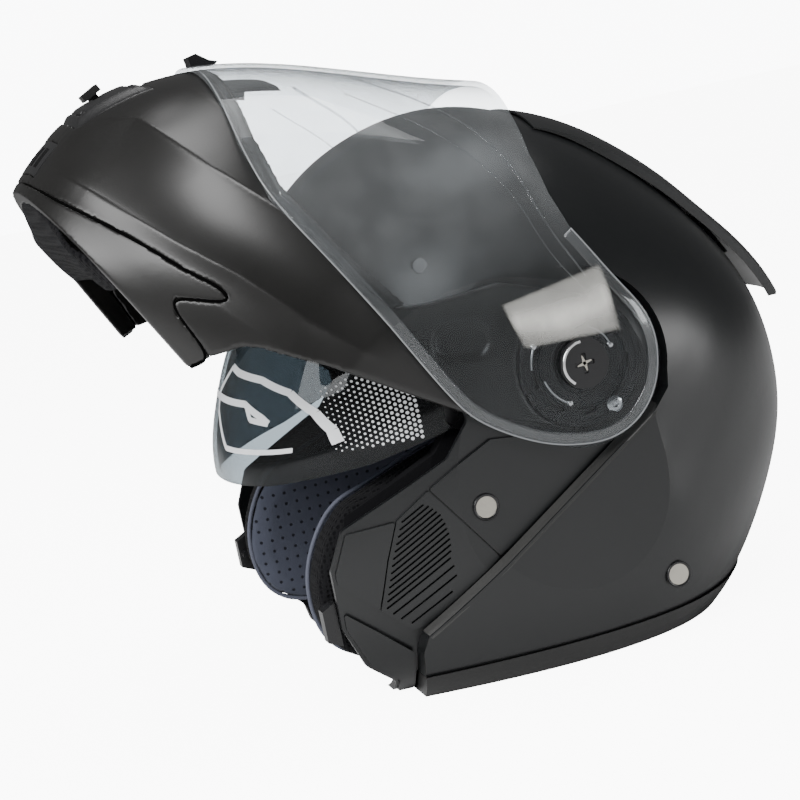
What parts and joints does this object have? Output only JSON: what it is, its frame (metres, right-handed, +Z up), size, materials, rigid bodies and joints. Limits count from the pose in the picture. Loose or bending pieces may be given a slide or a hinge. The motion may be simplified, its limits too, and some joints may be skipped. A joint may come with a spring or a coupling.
{
  "type": "modular motorcycle helmet",
  "caption": "Modular flip-up motorcycle helmet with chin bar raised, clear visor, drop-down smoked sun visor, padded lining and rear spoiler.",
  "frame": {"origin": "bottom centre of the bounding box, on the surface the helmet's rim stands on", "axes": "+Z up from the rim to the crown, -Y the way the face points, +X the wearer's left"},
  "size_m": [0.246, 0.3503, 0.2933],
  "materials": {
    "shell": "satin black",
    "chin": "matte black",
    "rubber": "matte",
    "foam": "matte",
    "fabric_dark": "knitted",
    "fabric_grey": "perforated knit",
    "metal": "brushed",
    "gear": "matte",
    "webbing": "woven",
    "vent": "matte",
    "clear": "clear",
    "smoke": "smoked",
    "release": "satin red"
  },
  "bodies": {
    "helmet": {"outer_shell": "shell", "rim_trim": "rubber", "impact_liner": "foam", "crown_lining": "fabric_dark", "neck_roll": "fabric_dark", "cheek_pad_left": "fabric_grey", "cheek_pad_right": "fabric_grey", "side_plate_left": "shell", "side_plate_right": "shell", "fluted_plate_left": "shell", "fluted_plate_right": "shell", "front_plate_left": "shell", "front_plate_right": "shell", "lower_plate_left": "shell", "lower_plate_right": "shell", "latch_striker_left": "gear", "latch_striker_right": "gear", "side_rivets": "metal", "dome_studs": "metal", "pivot_base_left": "gear", "pivot_base_right": "gear", "pivot_pin_left": "gear", "pivot_pin_right": "gear", "spoiler": "shell", "exhaust_grille": "gear", "sun_pins": "metal", "strap_left": "webbing", "strap_right": "webbing", "buckle_body": "gear"},
    "chin": {"chin_bar": "chin", "chin_skirt": "chin", "eyeport_seal": "rubber", "chin_vent_frame": "vent", "chin_intake": "vent", "chin_liner": "foam", "breath_guard": "rubber", "chin_curtain": "fabric_dark", "release_housing": "gear", "latch_hook_left": "metal", "latch_hook_right": "metal", "arm_plate_left": "gear", "arm_plate_right": "gear"},
    "visor": {"visor_lens": "clear", "visor_tab": "gear", "visor_hub_left": "clear", "visor_hub_right": "clear"},
    "sun_visor": {"sun_lens": "smoke", "sun_arm_left": "gear", "sun_arm_right": "gear"},
    "sun_slide": {"sun_slider": "vent"},
    "vent_slide": {"chin_vent_slider": "vent"},
    "release": {"release_button": "release"},
    "buckle": {"buckle_lever": "release"}
  },
  "joints": [
    {"name": "chin_bar_flip", "type": "hinge", "parent": "helmet", "child": "chin", "pos_m": [0, 0.0303, 0.131], "axis": [1, 0, 0], "range_deg": [0, 62]},
    {"name": "visor_tilt", "type": "hinge", "parent": "chin", "child": "visor", "pos_m": [0, 0.0303, 0.131], "axis": [-1, 0, 0], "range_deg": [0, 48]},
    {"name": "sun_visor_swing", "type": "hinge", "parent": "helmet", "child": "sun_visor", "pos_m": [0, 0.0353, 0.081], "axis": [-1, 0, 0], "range_deg": [0, 42]},
    {"name": "sun_slider_travel", "type": "slide", "parent": "helmet", "child": "sun_slide", "axis": [0, 1, 0], "range_m": [0, 0.024]},
    {"name": "vent_slider_travel", "type": "slide", "parent": "chin", "child": "vent_slide", "axis": [1, 0, 0], "range_m": [0, 0.007]},
    {"name": "release_press", "type": "slide", "parent": "chin", "child": "release", "axis": [0, -0.4695, 0.8829], "range_m": [0, 0.004], "stiffness_N_per_m": 400},
    {"name": "buckle_lever_lift", "type": "hinge", "parent": "helmet", "child": "buckle", "pos_m": [0, -0.0309, 0.0084], "axis": [1, 0, 0], "range_deg": [0, 70], "stiffness_Nm_per_rad": 0.02}
  ],
  "couplings": [
    {"joint": "sun_visor_swing", "follows": "sun_slider_travel", "rad_per_m": 30.543}
  ]
}
